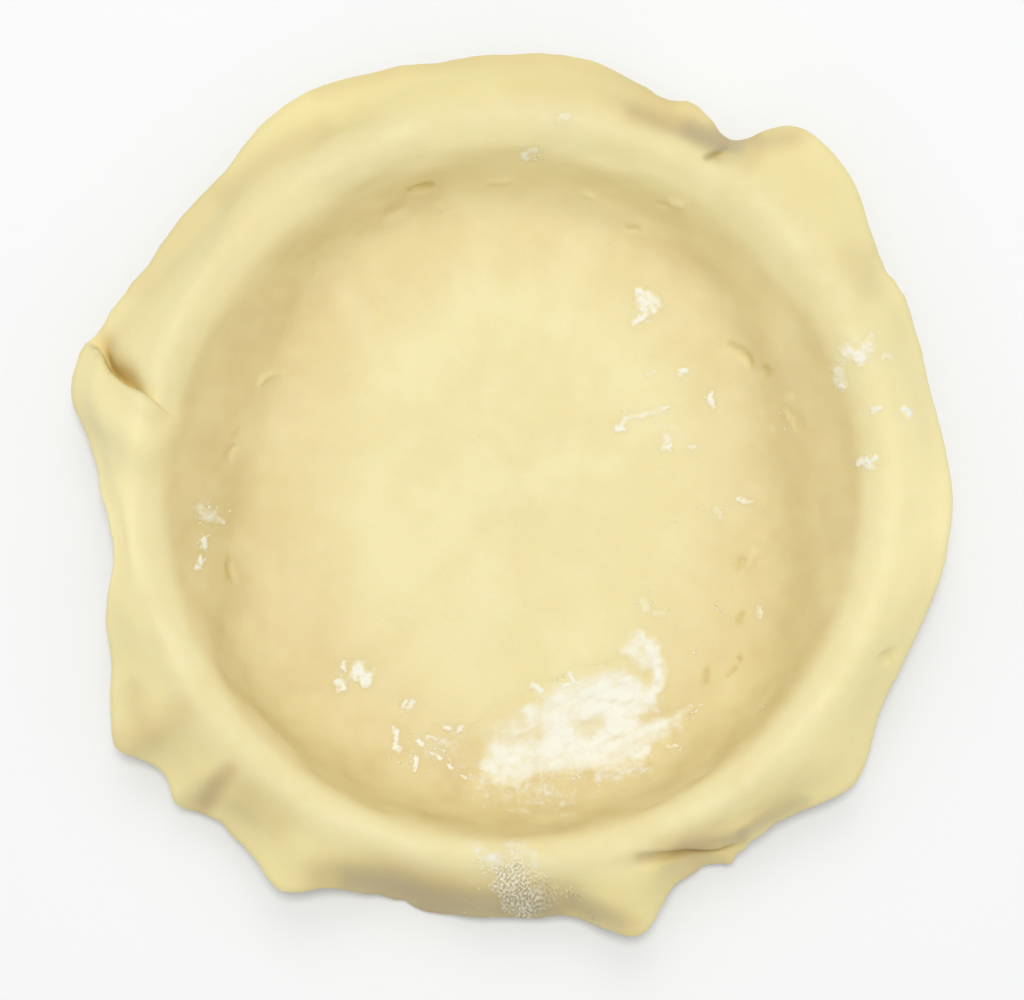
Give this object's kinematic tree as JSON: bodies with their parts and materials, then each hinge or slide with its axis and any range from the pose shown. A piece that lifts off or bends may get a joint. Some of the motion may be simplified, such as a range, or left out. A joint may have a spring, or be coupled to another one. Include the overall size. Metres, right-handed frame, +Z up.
{
  "type": "unbaked pastry case in a tart tin",
  "caption": "Raw shortcrust pastry laid into a plain round tin, its untrimmed wavy hem hanging over the rim, ready to be filled.",
  "frame": {"origin": "middle of the tin's flat underside", "axes": "+Z up out of the case's open mouth, +Y towards the top of the picture, +X towards its right"},
  "size_m": [0.2846, 0.2864, 0.04],
  "materials": {
    "raw_pastry": null,
    "tin_metal": "satin"
  },
  "bodies": {
    "root": {"pastry": "raw_pastry", "tin": "tin_metal"}
  },
  "joints": []
}
